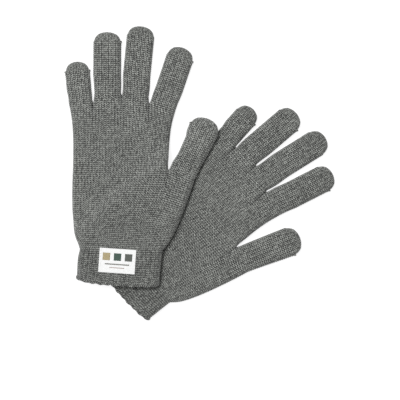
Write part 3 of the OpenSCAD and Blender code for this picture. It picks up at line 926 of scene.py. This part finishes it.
MOTIF_COLOURS = [((0.22, 0.18, 0.09), (0.35, 0.29, 0.15)), ((0.008, 0.03, 0.020), (0.02, 0.06, 0.040)),
                 ((0.03, 0.036, 0.030), (0.07, 0.08, 0.066)), ((0.10, 0.10, 0.09), (0.19, 0.19, 0.17)),
                 ((0.22, 0.16, 0.14), (0.34, 0.26, 0.23))]
WEAVE_COUNT, MOTIF_COUNT, SEWING_COUNT = 3600, 2600, 3000      # threads in a metre
STITCH_SIDE = 3                  # sewing stitches on each side of the middle of an end
STITCH_ENDS = 1.6                # pitches left over between the last ones and the label's edges
STITCH_INSET = 0.001
STITCH_L, STITCH_W, STITCH_T = 0.0016, 0.00062, 0.00034
STITCH_BASE = 0.85               # height of their underside, as a share of the label's thickness


def label_frame():
    points = node_points("left_label")
    low = points[points[:, 2] < points[:, 2].mean()]
    middle = low.mean(0)
    corner = low[np.argmax(low[:, 0])][:2]
    others = [p[:2] for p in low if np.linalg.norm(p[:2] - corner) > 1e-4]
    gaps = sorted(others, key=lambda p: np.linalg.norm(p - corner))
    height, width = (LABEL_SHARE * np.linalg.norm(gap - corner) for gap in gaps[:2])
    along = unit(corner - gaps[1])
    along = along * np.sign(along[0])
    up = np.array([-along[1], along[0]])
    thick = np.ptp(points[:, 2])
    return SimpleNamespace(middle=middle, along=along, up=up, width=width, height=height, thick=thick)


def on_label(label, x, y, z):
    xy = label.middle[:2] + x[..., None] * label.along + y[..., None] * label.up
    return np.concatenate([xy, (label.middle[2] + z)[..., None]], -1)


def wave(x, y):
    return LABEL_WAVE * (np.sin(x * LABEL_WAVES[0]) * np.cos(y * LABEL_WAVES[1]) - 1) / 2


def slab(label, cx, cy, w, h, low, top_of, nx, ny):
    """A closed thin slab on the label: its top follows top_of, and its edges are rounded over."""
    u, v = np.meshgrid(np.linspace(-1, 1, nx), np.linspace(-1, 1, ny))
    x, y = cx + u * w / 2, cy + v * h / 2
    edge = np.minimum((1 - np.abs(u)) * w / 2, (1 - np.abs(v)) * h / 2)
    fall = side_round(edge, LABEL_ROUND, 1.0)
    under = low + wave(x, y)
    top = on_label(label, x, y, under + top_of(u, v, x, y) * fall)
    bottom = on_label(label, x, y, under)
    _, upward = lattice(ny, nx, 0, False)
    _, downward = lattice(ny, nx, nx * ny, True)
    points = np.concatenate([top.reshape(-1, 3), bottom.reshape(-1, 3)])
    flat = np.stack([x, y, 0 * x], 2).reshape(-1, 3)
    quads = np.concatenate([upward.reshape(-1, 4), downward.reshape(-1, 4)])
    joined, number, first = weld(points)
    return joined, number[quads], np.concatenate([flat, flat])[first]


def gather(name, parts, materials):
    """One object from several slabs, each with its own material."""
    start, points, quads, cloth, which = 0, [], [], [], []
    for i, (p, q, c) in enumerate(parts):
        points.append(p)
        quads.append(q + start)
        cloth.append(c)
        which.append(np.full(len(q), i))
        start += len(p)
    thing = make_mesh(name, np.concatenate(points), np.concatenate(quads),
                      attributes={"weave": np.concatenate(cloth)})
    for m in materials:
        thing.data.materials.append(m)
    index = np.minimum(np.concatenate(which), len(materials) - 1).astype(np.int32)
    thing.data.polygons.foreach_set("material_index", index)
    return thing


def make_label():
    label = label_frame()
    white = woven_material("label_weave", (0.56, 0.565, 0.56), (0.70, 0.705, 0.70), WEAVE_COUNT)
    wide, high, thick = label.width, label.height, label.thick

    def face(u, v, x, y):
        folded = ease((np.abs(x) - wide / 2 + TURN_L) / TURN_STEP)
        return thick * (CLOTH_T + FOLDED_T * folded)
    cloth = gather("left_label_cloth", [slab(
        label, 0, 0, wide, high, LABEL_GAP, face, *LABEL_GRID)], [white])
    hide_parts("left_label")
    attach(cloth, "left_glove")

    block = BLOCK * high
    base = LABEL_GAP + CLOTH_T * thick

    def satin(u, v, x, y):
        return MOTIF_H * (0.8 + 0.2 * np.cos(2 * pi * y / MOTIF_RIB))
    plates = [(i * BLOCK_PITCH * block, BLOCK_UP * high, block, block) for i in (-1, 0, 1)]
    plates += [(0, up * high, long * wide, tall * high) for up, long, tall in BARS]
    parts = [slab(label, *p, base, satin, 33, max(9, int(p[3] / MOTIF_STEP))) for p in plates]
    motif = gather("left_label_motif_threads", parts, [
        woven_material(f"motif_thread_{i}", *c, MOTIF_COUNT) for i, c in enumerate(MOTIF_COLOURS)])
    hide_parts("left_label_motif")
    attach(motif, "left_glove")

    thread = woven_material("sewing_thread", (0.58, 0.58, 0.55), (0.80, 0.80, 0.77), SEWING_COUNT)

    def bead(u, v, x, y):
        return STITCH_T * (1 - 0.35 * u * u) * (0.9 + 0.1 * np.cos(14 * u + 6 * v))
    pitch = high / (2 * STITCH_SIDE + STITCH_ENDS)
    stitches = [slab(label, e * (wide / 2 - STITCH_INSET), i * pitch, STITCH_L, STITCH_W,
                     LABEL_GAP + STITCH_BASE * thick, bead, 13, 9)
                for e in (-1, 1) for i in range(-STITCH_SIDE, STITCH_SIDE + 1)]
    sewn = gather("left_label_sewing", stitches, [thread])
    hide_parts("left_label_stitches")
    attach(sewn, "left_glove")


# ---------------------------------------------------------------- building everything
KNIT = knit_material()
ELASTIC = elastic_material()
LOWER = read_glove("right")
for glove in (LOWER, read_glove("left")):
    count_courses(glove)
    edges = strip_edges(glove)
    outer = build_shell(glove, edges, ACROSS, ALONG)
    inner = build_shell(glove, edges, 1, 1, WALL)
    make_fabric(glove, outer, inner)
    make_hem(glove, outer)
    make_elastic(glove, inner)
make_label()


# ---------------------------------------------------------------- floor, light and camera
FLOOR_SIZE = 30.0
FLOOR_DROP = 0.0002              # keeps the floor clear of the lowest stitches
FLOOR_GLOW = 0.86                # lets a pale floor stay pale round the gloves' shadow
SKY = 0.5                        # even light from all round
KEY_PLACE, KEY_SIZE, KEY_POWER = (-0.5, 0.4, 1.5), 0.6, 28
VIEW_SHIFT = (-0.0005, -0.026)   # from the middle of the gloves to the middle of the view
VIEW_WIDTH = 0.3765              # of what the camera sees at VIEW_LEVEL above the floor
VIEW_LEVEL = 0.006
LENS = 85


def make_floor():
    bpy.ops.mesh.primitive_plane_add(size=FLOOR_SIZE, location=(0, 0, -FLOOR_DROP))
    floor = bpy.context.object
    floor.name = "floor"
    m = Nodes("pale_floor")
    m.set(Base_Color=(0.2, 0.2, 0.2, 1), Roughness=0.9, Specular_IOR_Level=0.0,
          Emission_Color=(1, 1, 1, 1), Emission_Strength=FLOOR_GLOW)
    floor.data.materials.append(m.material)


def add_light(name, place, size, power):
    lamp = bpy.data.lights.new(name, "AREA")
    lamp.size = size
    lamp.energy = power
    thing = bpy.data.objects.new(name, lamp)
    thing.location = place
    thing.rotation_euler = (-Vector(place)).to_track_quat("-Z", "Y").to_euler()
    bpy.context.scene.collection.objects.link(thing)


def make_camera():
    low, high = cad_box
    camera = bpy.data.cameras.new("camera")
    camera.lens = LENS
    camera.clip_start = 0.01
    thing = bpy.data.objects.new("camera", camera)
    middle = (low + high) / 2
    distance = VIEW_WIDTH * LENS / camera.sensor_width
    thing.location = (middle.x + VIEW_SHIFT[0], middle.y + VIEW_SHIFT[1], VIEW_LEVEL + distance)
    bpy.context.scene.collection.objects.link(thing)
    bpy.context.scene.camera = thing


make_floor()
scene = bpy.context.scene
scene.world = bpy.data.worlds.new("studio")
scene.world.use_nodes = True
sky = scene.world.node_tree.nodes["Background"]
sky.inputs["Color"].default_value = (1, 1, 1, 1)
sky.inputs["Strength"].default_value = SKY
add_light("key", KEY_PLACE, KEY_SIZE, KEY_POWER)
scene.view_settings.view_transform = "Standard"
scene.cycles.use_denoising = False   # it takes stitches this small for noise
make_camera()
